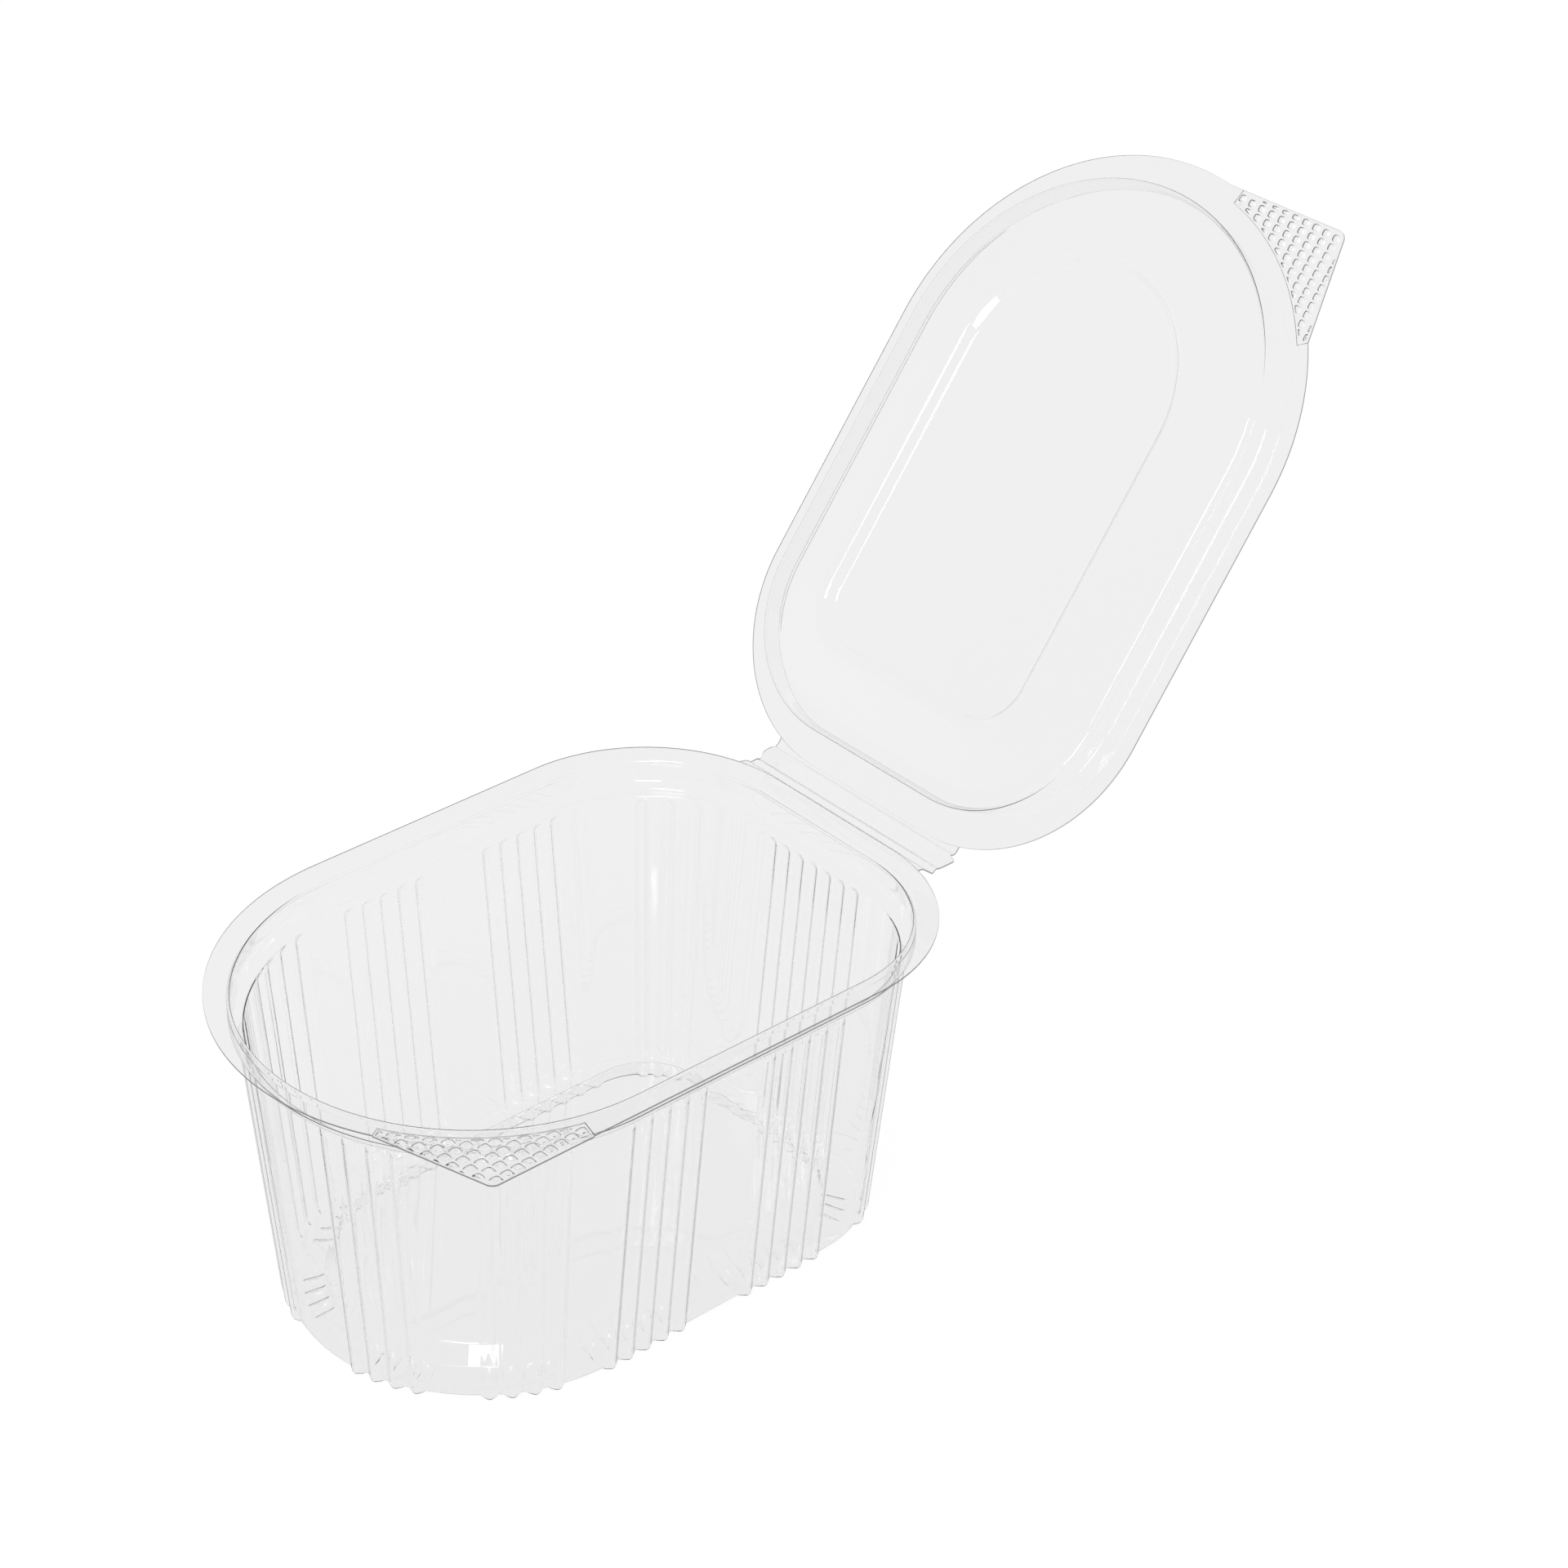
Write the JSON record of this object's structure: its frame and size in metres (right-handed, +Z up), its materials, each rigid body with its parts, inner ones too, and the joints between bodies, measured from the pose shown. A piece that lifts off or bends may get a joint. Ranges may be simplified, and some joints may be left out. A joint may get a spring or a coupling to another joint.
{
  "type": "portion cup with lid",
  "caption": "Clear round-fronted portion tub with fluted walls and a plug-in lid on a living hinge, shown standing open.",
  "frame": {"origin": "on the surface the tub stands on, in the middle of the part's length and width with the lid open", "axes": "+Z up out of the tub's mouth, +Y from the rounded front towards the hinge, X across"},
  "size_m": [0.084, 0.1934, 0.1477],
  "materials": {
    "clear_sheet": "clear glossy thermoformed sheet"
  },
  "bodies": {
    "tub": {"tub": "clear_sheet"},
    "lid": {"lid": "clear_sheet"}
  },
  "joints": [
    {"name": "lid_hinge", "type": "hinge", "parent": "tub", "child": "lid", "pos_m": [0, 0.02223, 0.05462], "axis": [-1, 0, 0], "range_deg": [-127.6, 52.4]}
  ]
}
